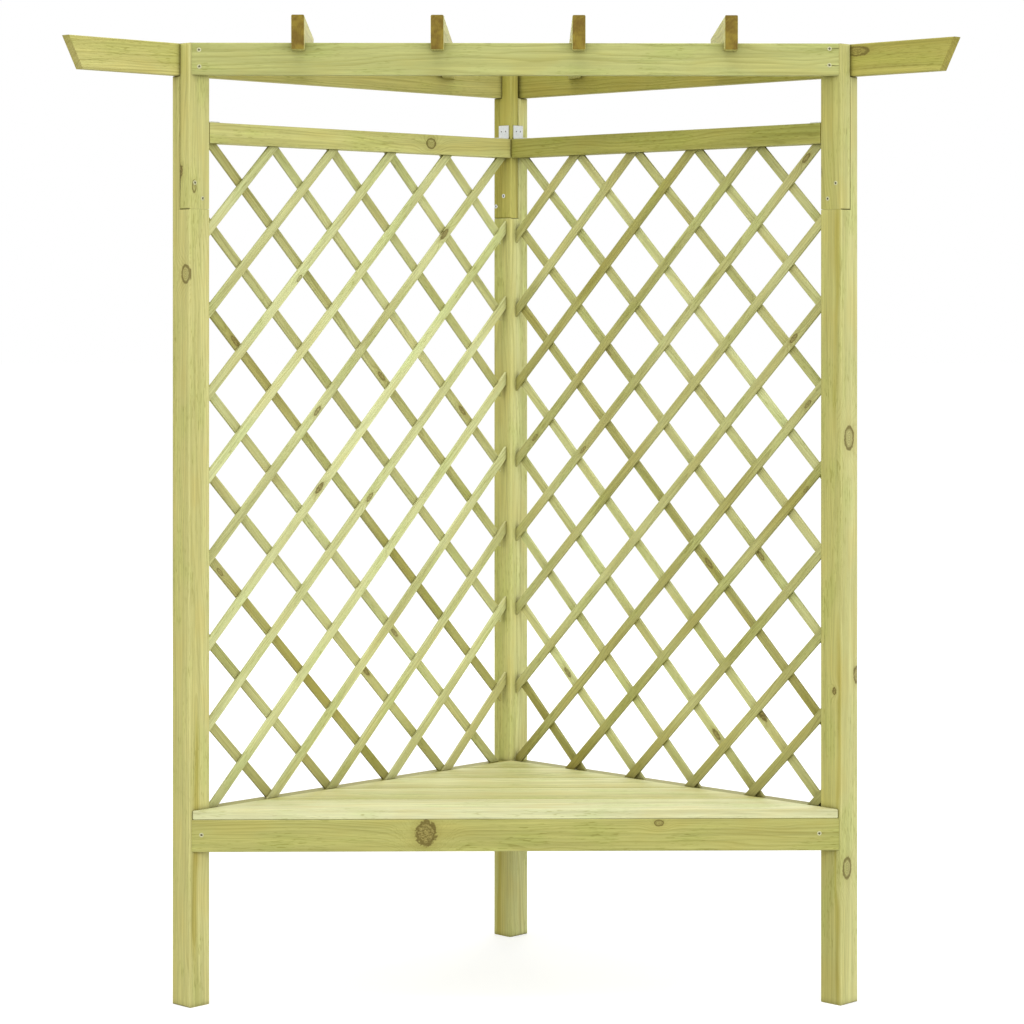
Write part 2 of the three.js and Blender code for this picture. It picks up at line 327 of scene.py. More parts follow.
def worn_and_cut(graph, given, moved, lines, streak, pores, colour):
    """Worn arrises are a little paler. Cut ends drink the stain and darken, with paler pores."""
    place = given["Position"]
    over = graph.split(graph.vector("SUBTRACT", graph.vector("ABSOLUTE", place), given["Half"]))
    arris = graph.step(graph.math("MINIMUM", over[1], over[2]), -WEAR_START, -WEAR_FULL)
    colour = graph.mix(graph.times(arris, graph.step(streak, 0.3, 0.7, 0.0, 0.16)), colour, WORN)
    soak = graph.noise(graph.scale(moved, 0.05), 2.0, 0.6)
    soaked = graph.mix(graph.step(soak, 0.3, 0.7), END_DARK, END_PALE)
    soaked = graph.mix(graph.times(lines, 0.7), soaked, END_RING)
    soaked = graph.mix(graph.step(pores, 0.4, 0.8, 0.0, 0.4), soaked, END_PORE)
    return graph.mix(given["End"], colour, soaked)


def marked(graph, given, moved, colour):
    """Knots have a tan halo, a brown heart and a darker rim, splits are dark, and where pieces
    touch the colour darkens, partly as salts and dirt and partly as painted shade."""
    torn = graph.step(graph.drawn_out(moved, 0.2, 0.34, 3.0, 0.7), 0.38, 0.62)
    core = graph.mix(torn, KNOT_DARK, KNOT_PALE)
    colour = graph.mix(graph.times(given["Halo"], 0.45), colour, KNOT_HALO)
    colour = graph.mix(given["Knot"], colour, core)
    colour = graph.mix(graph.times(given["Rim"], 0.75), colour, KNOT_RIM)
    colour = graph.mix(graph.times(given["Split"], 0.85), colour, SPLIT_DARK)
    # Painted shade, with some dirt: the colour darkens where ambient occlusion finds another surface
    # near
    near = graph.node("ShaderNodeAmbientOcclusion", {"Distance": CREASE_DIRT_AND_SHADE_REACH}, samples=4)
    return graph.mix(graph.step(near.outputs[1], 0.92, 0.3, 0.0, 0.7), colour, CREASE_DIRT_AND_SHADE)


def softwood_group():
    """Solid wood round a pith that drifts along the timber. Half is half its size, Ring a ring's
    width, End says where it is cut across, and the last vector points to its paler side, which is
    paler partly as painted light."""
    graph, given, result = group_with(
        "softwood",
        {
            "Vector": ("Position", "Half", "Pith", "Drift", "Sap"),
            "Float": ("Seed", "Ring", "Contrast", "Heart reach", "End", *KNOT_MASKS, *SPLIT_MASKS),
            "Color": ("Pale", "Dark"),
        },
        {"Color": ("Color",), "Float": ("Roughness", "Height")},
    )
    shift = graph.scale(SEED_SHIFT, given["Seed"])
    moved = graph.vector("ADD", given["Position"], shift)
    radius, late = growth_rings(graph, given, moved)
    lines = graph.times(late, given["Contrast"])
    fibre = graph.drawn_out(moved, 0.02, 1.1, 3.0, 0.6)
    streak = graph.drawn_out(moved, 0.004, 0.15, 3.0, 0.55)
    pores = graph.drawn_out(moved, 0.2, 1.6, 2.0, 0.6)
    colour = stained(graph, given, moved, radius, lines, fibre, streak)
    colour = worn_and_cut(graph, given, moved, lines, streak, pores, colour)
    graph.put(result["Color"], marked(graph, given, moved, colour))
    graph.put(result["Roughness"], graph.total(
        0.58, (fibre, 0.16), (given["End"], 0.14), (given["Knot"], -0.12),
    ))
    graph.put(result["Height"], graph.total(
        0.0, (late, 0.22), (fibre, 0.3), (given["Rim"], -0.3), (given["Split"], -1.2),
        (pores, 0.1),
    ))
    return graph.tree


def depth_under(graph, away, flat):
    """How far under a mark's face a point lies, along the axis that Flat leaves out."""
    across = graph.vector("MULTIPLY", CROSSWISE, graph.vector("SUBTRACT", ALL_WAYS, flat))
    return graph.math("ABSOLUTE", graph.vector("DOT_PRODUCT", away, across, out="Value"))


def knot_group():
    """One knot, a branch that runs through the timber along the axis that Flat leaves out. A
    dead knot has a brown heart, a live one only its rim and rings."""
    graph, given, result = group_with(
        "knot",
        {
            "Vector": ("Position", "Centre", "Flat"),
            "Float": ("Radius", "Depth", "Dead", "Strength", *KNOT_MASKS),
        },
        {"Float": KNOT_MASKS},
    )
    away = graph.vector("SUBTRACT", given["Position"], given["Centre"])
    ragged = graph.vector("SUBTRACT", graph.noise(graph.scale(away, 0.16), out=1), NOISE_MIDDLE)
    torn = graph.math("ADD", given["Dead"], 0.4)
    ragged = graph.scale(ragged, graph.times(given["Radius"], torn))
    flat = graph.vector("MULTIPLY", graph.vector("ADD", away, ragged), given["Flat"])
    distance = graph.vector("LENGTH", flat, out="Value")
    share = graph.math("DIVIDE", distance, given["Radius"])
    sunk = depth_under(graph, away, given["Flat"])
    near = graph.step(sunk, graph.times(given["Depth"], 0.8), given["Depth"], 1.0, 0.0)
    near = graph.times(near, given["Strength"])

    # The growth rings swell round a knot
    spread = graph.times(graph.times(share, share), -0.22)
    push = graph.times(graph.times(graph.math("EXPONENT", spread), given["Radius"]), near)
    graph.put(result["Swell"], graph.total(given["Swell"], (push, 2.4)))

    core = graph.times(graph.step(share, 0.8, 1.08, 1.0, 0.0), near)
    rings = graph.math("SINE", graph.times(distance, 2.2))
    rings = graph.times(graph.total(0.25, (rings, 0.3)), core)
    rim = graph.times(graph.step(share, 0.62, 0.86), graph.step(share, 1.0, 1.16, 1.0, 0.0))
    halo = graph.times(graph.step(share, 0.9, 2.2, 1.0, 0.0), near)
    masks = {
        "Knot": graph.times(core, given["Dead"]),
        "Rim": graph.math("MAXIMUM", rings, graph.times(rim, near)),
        "Halo": graph.times(halo, graph.total(0.3, (given["Dead"], 0.7))),
    }
    for title, mask in masks.items():
        graph.put(result[title], graph.math("MAXIMUM", mask, given[title]))
    return graph.tree


# How deep a split goes and how far it sways to either side, in millimetres
SPLIT_DEEP = 6.0
SPLIT_SWAY = 2.5


def split_group():
    """A fine crack along the grain, widest at its middle."""
    graph, given, result = group_with(
        "split",
        {"Vector": ("Position", "Centre", "Flat"), "Float": ("Reach", "Width", *SPLIT_MASKS)},
        {"Float": SPLIT_MASKS},
    )
    away = graph.vector("SUBTRACT", given["Position"], given["Centre"])
    sway = graph.noise(graph.scale(given["Position"], 0.05))
    sway = graph.total(-SPLIT_SWAY, (sway, 2 * SPLIT_SWAY))
    along = graph.math("DIVIDE", graph.split(away)[0], given["Reach"])
    taper = graph.math("SUBTRACT", 1.0, graph.times(along, along), clamp=True)
    side = graph.vector("MULTIPLY", away, graph.vector("MULTIPLY", given["Flat"], CROSSWISE))
    side = graph.vector("DOT_PRODUCT", side, CROSSWISE, out="Value")
    side = graph.math("ABSOLUTE", graph.math("ADD", side, sway))
    wide = graph.times(given["Width"], taper)
    line = graph.step(side, graph.times(wide, 0.4), wide, 1.0, 0.0)
    line = graph.times(line, graph.math("GREATER_THAN", taper, 0.0))
    sunk = depth_under(graph, away, given["Flat"])
    line = graph.times(line, graph.math("LESS_THAN", sunk, SPLIT_DEEP))
    graph.put(result["Split"], graph.math("MAXIMUM", line, given["Split"]))
    return graph.tree


SOFTWOOD = softwood_group()
KNOT = knot_group()
SPLIT = split_group()


def unmarked():
    """The masks of wood without knots or splits."""
    return dict.fromkeys(KNOT_MASKS + SPLIT_MASKS, 0.0)


def chain(graph, tree, titles, masks, **values):
    """Adds a mark to a surface: its group takes the masks so far and gives them on."""
    mark = graph.node("ShaderNodeGroup", node_tree=tree)
    for title, value in values.items():
        graph.put(mark.inputs[title], value)
    for title in titles:
        graph.put(mark.inputs[title], masks[title])
        masks[title] = mark.outputs[title]


def finish_softwood(graph, masks, **values):
    """Puts the softwood on a material's surface, with the masks of its marks."""
    wood = graph.node("ShaderNodeGroup", node_tree=SOFTWOOD)
    for title, value in {**masks, **values}.items():
        graph.put(wood.inputs[title.replace("_", " ")], value)
    out = wood.outputs
    looks = {"Base Color": out["Color"], "Roughness": out["Roughness"], "Specular IOR Level": 0.22}
    graph.surface(looks, out["Height"], strength=0.5)


# A stain's early and late wood, as shares of its colour as a whole
PALE_SHARES = (1.16, 1.16, 1.2)
DARK_SHARES = (0.72, 0.68, 0.5)

# A face that a mark shows on is square to the timber's own y or z, and the mark is longer
# along the grain than across it
ON_Y = (0.62, 0.0, 1.0)
ON_Z = (0.62, 1.0, 0.0)

# A timber's own axes: along its grain, and then across it one way and the other
STANDING = {side: (UP, ALONG[side], INWARD[side]) for side in SIDES}
LYING = {side: (ALONG[side], UP, INWARD[side]) for side in SIDES}
CROSSBEAM = (RIGHTWARD, UP, REARWARD)
BOARD = (RIGHTWARD, REARWARD, UP)
RAFTER = (REARWARD, UP, RIGHTWARD)
BATTEN = (REARWARD, RIGHTWARD, UP)


def dress(node, axes, stain, seed, pith, drift=(0.0, 0.006, 0.004), ring=4.4, contrast=0.35,
          reach=0.0, sap_and_light=(0.0, 0.0), cut=0.5, knots=(), splits=()):
    """Gives a CAD timber its own wood. Reach is how far its heartwood goes, cut how dark its
    ends are, and a direction across it points to its paler side, paler partly as painted light. The
    pith is counted from the timber's middle, in millimetres, and the marks are placed in the scene."""
    low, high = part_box(node)
    middle = (low + high) / 2
    turn = Matrix(axes)
    piece = nodes[node]
    corners = [piece.matrix_world @ vertex.co - middle for vertex in piece.data.vertices]
    half = [max(abs(axis.dot(corner)) for corner in corners) / MM for axis in axes]
    material, graph = new_material(f"wood_{node}")
    source = graph.node("ShaderNodeTexCoord").outputs
    away = graph.vector("SUBTRACT", source["Object"], tuple(middle))
    place = graph.join(*(
        graph.vector("DOT_PRODUCT", away, tuple(axis / MM), out="Value") for axis in axes
    ))
    facing = graph.vector("DOT_PRODUCT", source["Normal"], tuple(axes[0]), out="Value")
    end = graph.step(graph.math("ABSOLUTE", facing), 0.55, 0.8, 0.0, cut)
    bark_and_light_sides = [share / size for share, size in zip(sap_and_light, half[1:])]
    masks = unmarked()
    for point, flat, radius, depth, dead in knots:
        chain(graph, KNOT, KNOT_MASKS, masks, Position=place, Centre=turn @ (point - middle) / MM,
              Flat=flat, Radius=radius, Depth=depth, Dead=dead, Strength=1.0)
    for point, flat, long, wide in splits:
        chain(graph, SPLIT, SPLIT_MASKS, masks, Position=place,
              Centre=turn @ (point - middle) / MM, Flat=flat, Reach=long, Width=wide)
    finish_softwood(
        graph, masks, Position=place, Half=half, Pith=(0.0, *pith), Drift=drift, Seed=seed,
        Ring=ring, Contrast=contrast, Heart_reach=reach, End=end, Sap=(0.0, *bark_and_light_sides),
        Pale=shaded(stain, *PALE_SHARES), Dark=shaded(stain, *DARK_SHARES),
    )
    coat_node(node, material)


# The right wall's beam and top rail are darker partly as painted shade, for inner faces that face
# away from the light
STAINS = {
    "post": {"left": paint(194, 189, 120), "right": paint(191, 188, 120)},
    "upper": {"left": paint(192, 188, 118), "right": paint(187, 184, 114)},
    "beam": {"left": paint(190, 184, 110), "right": paint(168, 161, 80)},
    "top rail": {"left": paint(197, 194, 122), "right": paint(161, 158, 81)},
    # Painted shade: the lower rails' stain is darker, for their tops in shadow behind the seat
    "bottom rail": {"left": paint(148, 143, 72), "right": paint(144, 139, 68)},
    "bearer": {"left": paint(176, 172, 98), "right": paint(172, 168, 94)},
    "back post": {"lower": paint(203, 201, 130), "upper": paint(182, 176, 92)},
}
# The front beam's and the apron's stains are darker partly as painted shade, for faces that face the
# front
FRONT_BEAM_STAIN_AND_SHADE = paint(174, 175, 108)
APRON_STAIN_AND_SHADE = paint(174, 171, 98)
RAFTER_STAIN = paint(186, 182, 112)

# The posts are paler on one side and darker on the other, partly as the wood nearer the bark
# and partly as painted light and shade on their faces
POST_SAP_AND_LIGHT = {"left": (-0.22, 0.22), "right": (0.45, -0.55)}
BACK_SAP_AND_LIGHT = {"lower": (-0.65, 0.65), "upper": (-0.5, 0.5)}

# The right post's pith lies just outside its inner face, near the front arris. The left post's
# and the back post's lie farther out, and come near a face at the foot alone.
POST_PITH = {"left": (24.0, 44.0), "right": (16.0, 34.0)}
POST_DRIFT = {"left": (0.0, 0.020, 0.0215), "right": (0.0, 0.002, 0.001)}
POST_HEART = 9.0

# A knot is its place, its stretch on the face, its radius and depth in millimetres, and how dead
# it is, from 0 to 1. A split is its place, its stretch, and half its length and width.
POST_KNOTS = {
    "left": {
        "lower": [(wall_point("left", FRONT_FACE, 0.042, 1.456), (0.66, 0.0, 1.0), 12.0, 6.0, 0.04)],
        "upper": [
            (wall_point("left", FRONT_FACE, 0.0246, 1.661), ON_Y, 8.0, 10.0, 0.9),
            (wall_point("left", 0.956, INNER_FACE, 1.630), (0.4, 1.0, 0.0), 5.0, 8.0, 0.2),
        ],
    },
    "right": {
        "lower": [
            (wall_point("right", FRONT_FACE, 0.0285, 1.129), ON_Y, 14.5, 14.0, 0.1),
            (wall_point("right", FRONT_FACE, 0.035, 0.272), ON_Y, 13.0, 14.0, 0.1),
            (wall_point("right", FRONT_FACE, 0.004, 0.655), ON_Y, 10.0, 10.0, 0.35),
            (wall_point("right", 0.951, INNER_FACE, 0.625), ON_Z, 4.5, 10.0, 0.7),
        ],
        "upper": [],
    },
}
POST_SPLITS = {
    "left": [(wall_point("left", FRONT_FACE, 0.026, 1.635), ON_Y, 28.0, 1.2)],
    "right": [(wall_point("right", 0.920, INNER_FACE, 1.66), ON_Z, 12.0, 0.8)],
}
RAIL_KNOTS = {
    "left": [(wall_point("left", 0.299, INNER_FACE, 1.74), (0.8, 1.0, 0.0), 11.0, 14.0, 0.1)],
    "right": [(wall_point("right", 0.81, 0.012, 1.735), ON_Z, 6.0, 12.0, 0.2)],
}
BEAM_KNOTS = {
    "left": [(wall_point("left", 0.42, 0.0, 1.873), ON_Z, 7.0, 14.0, 0.5)],
    "right": [(wall_point("right", 0.984, BEAM_THICK, 1.900), (0.3, 1.0, 0.0), 9.0, 30.0, 0.4)],
}
FRONT_BEAM_SPLITS = [
    (Vector((0.641, BEAM_FACE, 1.9044)), ON_Z, 16.0, 0.8),
    (Vector((0.640, BEAM_FACE, 1.8716)), ON_Z, 18.0, 0.9),
]
APRON_KNOTS = [
    (Vector((-0.1702, BEAM_FACE, 0.3456)), (0.95, 0.76, 0.0), 18.5, 40.0, 0.7),
    (Vector((0.2929, BEAM_FACE, 0.3642)), ON_Z, 6.0, 12.0, 0.25),
]

# The boards count from the front
BOARD_STAINS = (
    paint(203, 202, 150), paint(190, 188, 125), paint(194, 192, 131), paint(190, 188, 126),
    paint(192, 190, 128),
)
# Each board is paler towards one edge and darker towards the other, partly as painted highlight and
# shade that make the joints between the boards show
BOARD_SAPS_AND_LIGHT = (-0.2, 0.6, 0.6, 0.5, 0.5)


# Each timber has a seed and a pith of its own
for index, side in enumerate(SIDES):
    dress(f"{side}_post_lower", STANDING[side], STAINS["post"][side], seed=3.1 + index * 4.7,
          pith=POST_PITH[side], drift=POST_DRIFT[side], ring=5.6, reach=POST_HEART,
          sap_and_light=POST_SAP_AND_LIGHT[side], knots=POST_KNOTS[side]["lower"])
    dress(f"{side}_post_upper", STANDING[side], STAINS["upper"][side], seed=5.9 + index * 2.3,
          pith=(-44.0, 46.0), ring=5.0, sap_and_light=POST_SAP_AND_LIGHT[side], knots=POST_KNOTS[side]["upper"],
          splits=POST_SPLITS[side])
    dress(f"{side}_side_beam", LYING[side], STAINS["beam"][side], seed=7.3 + index * 3.9,
          pith=(-66.0, 30.0), ring=5.4, contrast=0.5, sap_and_light=(-0.25, 0.0), cut=0.3,
          knots=BEAM_KNOTS[side])
    dress(f"{side}_top_rail", LYING[side], STAINS["top rail"][side], seed=2.2 + index * 5.1,
          pith=(-26.0, 40.0), drift=(0.0, 0.02, 0.01), ring=4.6, contrast=0.5,
          knots=RAIL_KNOTS[side])
    dress(f"{side}_bottom_rail", LYING[side], STAINS["bottom rail"][side],
          seed=8.8 + index * 1.7, pith=(33.0, -30.0))
    dress(f"{side}_seat_bearer", LYING[side], STAINS["bearer"][side], seed=6.1 + index * 2.9,
          pith=(25.0, 34.0))
dress("back_post_lower", STANDING["left"], STAINS["back post"]["lower"], seed=11.2,
      pith=(46.0, -10.0), drift=(0.0, 0.025, 0.0), ring=5.2, reach=POST_HEART,
      sap_and_light=BACK_SAP_AND_LIGHT["lower"])
dress("back_post_upper", STANDING["left"], STAINS["back post"]["upper"], seed=12.9,
      pith=(40.0, -36.0), contrast=0.5, sap_and_light=BACK_SAP_AND_LIGHT["upper"])
dress("front_beam", CROSSBEAM, FRONT_BEAM_STAIN_AND_SHADE, seed=1.4, pith=(46.0, 60.0), ring=5.6,
      contrast=0.36, splits=FRONT_BEAM_SPLITS)
dress("seat_apron", CROSSBEAM, APRON_STAIN_AND_SHADE, seed=9.6, pith=(-52.0, 48.0), ring=4.2,
      contrast=0.45, knots=APRON_KNOTS)
dress("seat_middle_batten", BATTEN, STAINS["bearer"]["left"], seed=4.4, pith=(24.0, 40.0))

# The pith wanders from board to board and from rafter to rafter, as in one log
for row, (stain, sap_and_light) in enumerate(zip(BOARD_STAINS, BOARD_SAPS_AND_LIGHT), 1):
    dress(f"seat_board_{row}", BOARD, stain, seed=13.0 + row * 3.3,
          pith=(12.0 - row * 9.0, -46.0), drift=(0.0, 0.012, 0.006), ring=5.6, contrast=0.55,
          sap_and_light=(sap_and_light, 0.0))
for row, rafter in enumerate(RAFTERS, 1):
    dress(rafter, RAFTER, RAFTER_STAIN, seed=20.0 + row * 2.7, pith=(10.0 - row * 8.0, 30.0),
          contrast=0.5, cut=0.95)

# The laths' stain in early and late wood, from tan to pale green, and the painted shade that
# darkens their feet, up to this height over the lower rail
LATH_TAN = paint(172, 167, 90)
LATH_GREEN = paint(233, 237, 178)
LATH_TAN_LATE = paint(124, 112, 46)
LATH_GREEN_LATE = paint(200, 200, 130)
FOOT_SHADE = paint(120, 108, 44)
FOOT_SHADE_HIGH = 0.16

# A lath carries up to three knots on its mesh, and this where it has fewer
KNOTS_ON_LATH = 3
NO_KNOT = -9999.0
LATH_KNOT_DEEP = 30.0
LATH_KNOT_STRETCH = (0.36, 1.0, 0.0)


def lath_material():
    """One wood for all laths: each carries its own grain coordinates and stain on its mesh."""
    material, graph = new_material("wood_laths")

    def carried(name, out="Fac"):
        return graph.node("ShaderNodeAttribute", attribute_name=name).outputs[out]

    place = carried("grain", "Vector")
    seed = carried("seed")
    tone = carried("tone")

    # Stain drifts along a lath between pale green and tan, and painted shade darkens the feet
    along = graph.split(place)[0]
    sweep = graph.noise(graph.join(graph.times(along, 0.0045), seed, 0.0), 1.0)
    tone = graph.math("ADD", tone, graph.total(-0.45, (sweep, 0.9)), clamp=True)
    height = graph.split(graph.node("ShaderNodeTexCoord").outputs["Object"])[2]
    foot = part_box("left_bottom_rail")[1].z
    foot_shade = graph.step(height, foot, foot + FOOT_SHADE_HIGH, 0.35, 0.0)
    pale = graph.mix(foot_shade, graph.mix(tone, LATH_TAN, LATH_GREEN), FOOT_SHADE)
    dark = graph.mix(tone, LATH_TAN_LATE, LATH_GREEN_LATE)

    # A knot's size also says how far it lies off the lath's middle line, and how dead it is
    masks = unmarked()
    for spot in graph.split(carried("knots", "Vector")):
        size = graph.noise(graph.join(spot, seed, 0.0), 0.0)
        aside = graph.total(-12.0, (size, 24.0))
        dead = graph.math("MULTIPLY_ADD", size, 1.6, -0.15, clamp=True)
        chain(graph, KNOT, KNOT_MASKS, masks, Position=place, Centre=graph.join(spot, aside, 0.0),
              Flat=LATH_KNOT_STRETCH, Radius=graph.total(1.6, (size, 6.0)),
              Depth=LATH_KNOT_DEEP, Dead=dead, Strength=0.8)
    finish_softwood(
        graph, masks, Position=place, Half=(0.0, LATH_WIDE / 2 / MM, LATH_THICK / 2 / MM),
        Pith=(0.0, 22.0, 26.0), Drift=(0.0, 0.03, 0.02), Seed=seed, Ring=3.6, Contrast=0.5,
        Heart_reach=0.0, End=graph.times(carried("end"), 0.5), Pale=pale, Dark=dark,
    )
    return material


LATHS = lath_material()

# The laths lie this far off posts and rails, the outer ones stop short of the posts, their
# arrises are eased, and none has a face smaller than this, in square metres
LATH_GAP = 0.0002
OUTER_SHORT = 0.010
LATH_EASE = 0.0007
SMALLEST_LATH = 0.0006

# The two layers of laths. How pale each is, from tan to pale green, and how it was laid off
# true: its shift along the wall, its spacing as a share of the cell, and its turn in degrees.
INNER = 1
OUTER = -1
LATH_LAYERS = {
    "left": {
        INNER: ((0.45, 0.82), -0.003, 1.004, 0.17),
        OUTER: ((0.25, 0.6), 0.004, 0.989, 0.46),
    },
    "right": {
        INNER: ((0.2, 0.5), -0.008, 1.006, -0.4),
        OUTER: ((0.3, 0.68), 0.0015, 1.008, 0.28),
    },
}

# What is left to chance in each lath: its turn in degrees, its shift, and its wood
LATH_TURN = 0.12
LATH_STRAY = 0.001
LATH_SEEDS = 60
FIRST_WALL_SEED = 41

# The brownest laths of each wall, counted from the corner along the top rail, with their layer
BROWN_LATHS = {
    "left": ((OUTER, 7), (OUTER, 10)),
    "right": ((INNER, 3), (INNER, 9), (INNER, 12), (OUTER, -2), (OUTER, -7)),
}
BROWN_TONE = (0.04, 0.16)

# Knots of the laths, as how far along the wall and how high up they are
LATH_KNOTS = {
    "left": (
        (0.245, 1.545), (0.665, 1.450), (0.615, 1.175), (0.605, 1.010), (0.472, 0.995),
        (0.190, 1.160), (0.425, 1.245), (0.840, 1.315), (0.870, 0.860), (0.385, 0.700),
        (0.475, 0.620),
    ),
    "right": (
        (0.333, 1.300), (0.280, 1.192), (0.252, 1.085), (0.115, 1.100), (0.865, 1.695),
        (0.872, 1.195), (0.865, 1.025), (0.835, 1.328), (0.750, 0.885), (0.205, 0.595),
        (0.745, 0.550), (0.630, 0.505), (0.605, 0.855),
    ),
}


class Panel:
    """The opening of a wall that its laths fill, where x runs along the wall and y up. A point
    and a heading in it become those of the scene."""

    def __init__(self, side):
        self.side = side
        self.start = POST_SIDE + LATH_GAP
        self.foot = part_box(f"{side}_bottom_rail")[1].z + LATH_GAP
        self.wide = WALL_LENGTH - 2 * self.start
        self.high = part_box(f"{side}_top_rail")[0].z - LATH_GAP - self.foot

    def point(self, flat, deep):
        return wall_point(self.side, self.start + flat.x, deep, self.foot + flat.y)

    def heading(self, flat):
        return ALONG[self.side] * flat.x + UP * flat.y


def cross(first, second):
    """The cross product of two flat vectors."""
    return first.x * second.y - first.y * second.x


def area(points):
    return abs(sum(cross(points[index - 1], point) for index, point in enumerate(points))) / 2


def clip(points, keep):
    """The part of a convex outline where keep, a function of a point, isn't negative."""
    kept = []
    for index, point in enumerate(points):
        last = points[index - 1]
        here = keep(point)
        there = keep(last)
        if here * there < 0:
            kept.append(last + (point - last) * (there / (there - here)))
        if here >= 0:
            kept.append(point)
    return kept


def lath_outline(through, lengthwise, sideways, panel, short):
    """A lath's outline in the panel. It stops short of the posts by the length of that name."""
    reach = panel.wide + panel.high
    half = LATH_WIDE / 2
    points = [
        through + lengthwise * reach * a + sideways * half * b
        for a, b in ((-1, -1), (1, -1), (1, 1), (-1, 1))
    ]
    for keep in (
        lambda p: p.x - short,
        lambda p: panel.wide - short - p.x,
        lambda p: p.y,
        lambda p: panel.high - p.y,
    ):
        points = clip(points, keep)
    return points


def add_stick(mesh, layers, corners, axes, centre, **carried):
    """A lath with eased arrises, copied into mesh with its grain coordinates and what else it
    carries. The axes run along it, across it and into the wall."""
    heading, inward = axes[0], axes[2]
    stick = bmesh.new()
    face = stick.faces.new([stick.verts.new(corner) for corner in corners])
    pushed = bmesh.ops.extrude_face_region(stick, geom=[face])
    moved = [item for item in pushed["geom"] if isinstance(item, bmesh.types.BMVert)]
    bmesh.ops.translate(stick, verts=moved, vec=inward * LATH_THICK)
    bmesh.ops.bevel(stick, geom=stick.edges[:], offset=LATH_EASE, segments=2, profile=0.6,
                    affect="EDGES", clamp_overlap=True)
    bmesh.ops.recalc_face_normals(stick, faces=stick.faces[:])
    copies = {}
    for vertex in stick.verts:
        made = mesh.verts.new(vertex.co)
        away = (vertex.co - centre) / MM
        made[layers["grain"]] = Vector([away.dot(axis) for axis in axes])
        for name, value in carried.items():
            made[layers[name]] = value
        copies[vertex] = made
    for face in stick.faces:
        made = mesh.faces.new([copies[vertex] for vertex in face.verts])
        edgewise = abs(face.normal.dot(inward)) < 0.5
        made[layers["end"]] = 1.0 if edgewise and abs(face.normal.dot(heading)) > 0.3 else 0.0
    stick.free()


def lay_laths(panel, mesh, layers, shuffle):
    """Adds both layers of a wall's laths to mesh, and gives the middle line of each lath."""
    side = panel.side
    columns = int(panel.wide // CELL_WIDE)
    rows = round(panel.high / CELL_WIDE)
    slope = math.atan2(panel.high / rows, CELL_WIDE)
    first = (panel.wide - columns * CELL_WIDE) / 2
    inner_lean = -1 if side == "left" else 1
    unused = [Vector((along - panel.start, up - panel.foot)) for along, up in LATH_KNOTS[side]]
    lines = {INNER: [], OUTER: []}
    for layer, (tones, shift, spacing, turn) in LATH_LAYERS[side].items():
        lean = inner_lean * layer
        near = RAIL_MIDDLE if layer == INNER else RAIL_MIDDLE - LATH_THICK
        short = 0.0 if layer == INNER else OUTER_SHORT
        for step in range(-rows, columns + rows + 1):
            angle = slope * lean + math.radians(turn + shuffle.uniform(-LATH_TURN, LATH_TURN))
            stray = shift + shuffle.uniform(-LATH_STRAY, LATH_STRAY)
            through = Vector((first + step * CELL_WIDE * spacing + stray, panel.high))
            seed = shuffle.uniform(0, LATH_SEEDS)
            brown = (layer, step) in BROWN_LATHS[side]
            tone = shuffle.uniform(*(BROWN_TONE if brown else tones))
            lengthwise = Vector((math.cos(angle), math.sin(angle)))
            sideways = Vector((-lengthwise.y, lengthwise.x))
            outline = lath_outline(through, lengthwise, sideways, panel, short)
            if area(outline) < SMALLEST_LATH:
                continue
            lines[layer].append((through, lengthwise))
            mine = [spot for spot in unused if abs((spot - through).dot(sideways)) < LATH_WIDE / 2]
            unused = [spot for spot in unused if spot not in mine]
            spots = [(spot - through).dot(lengthwise) / MM for spot in mine]
            spots = (spots + [NO_KNOT] * KNOTS_ON_LATH)[:KNOTS_ON_LATH]
            axes = (panel.heading(lengthwise), panel.heading(sideways), INWARD[side])
            add_stick(mesh, layers, [panel.point(corner, near) for corner in outline], axes,
                      panel.point(through, near + LATH_THICK / 2), seed=seed, tone=tone,
                      knots=Vector(spots))
    return lines


def lath_crossings(panel, lines):
    """Where a wall's laths cross, on its outer side and clear of the panel's edge, each place
    with the inner lath's heading."""
    margin = LATH_WIDE / 2
    found = []
    for through, inner in lines[INNER]:
        for other, outer in lines[OUTER]:
            point = through + inner * (cross(other - through, outer) / cross(inner, outer))
            between_posts = OUTER_SHORT < point.x < panel.wide - OUTER_SHORT
            if between_posts and margin < point.y < panel.high - margin:
                place = panel.point(point, RAIL_MIDDLE - LATH_THICK)
                found.append((place, panel.heading(inner)))
    return found


def trellis(side, shuffle):
    """The crossed laths of one wall as separate sticks, and the places of their crossings."""
    panel = Panel(side)
    mesh = bmesh.new()
    layers = {
        "grain": mesh.verts.layers.float_vector.new("grain"),
        "seed": mesh.verts.layers.float.new("seed"),
        "tone": mesh.verts.layers.float.new("tone"),
        "knots": mesh.verts.layers.float_vector.new("knots"),
        "end": mesh.faces.layers.float.new("end"),
    }
    lines = lay_laths(panel, mesh, layers, shuffle)
    piece = mesh_in_scene(f"{side}_laths", mesh, LATHS)
    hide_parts(f"{side}_lattice")
    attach(piece, "root")
    return lath_crossings(panel, lines)


CROSSINGS = {
    side: trellis(side, random.Random(FIRST_WALL_SEED + index)) for index, side in enumerate(SIDES)
}


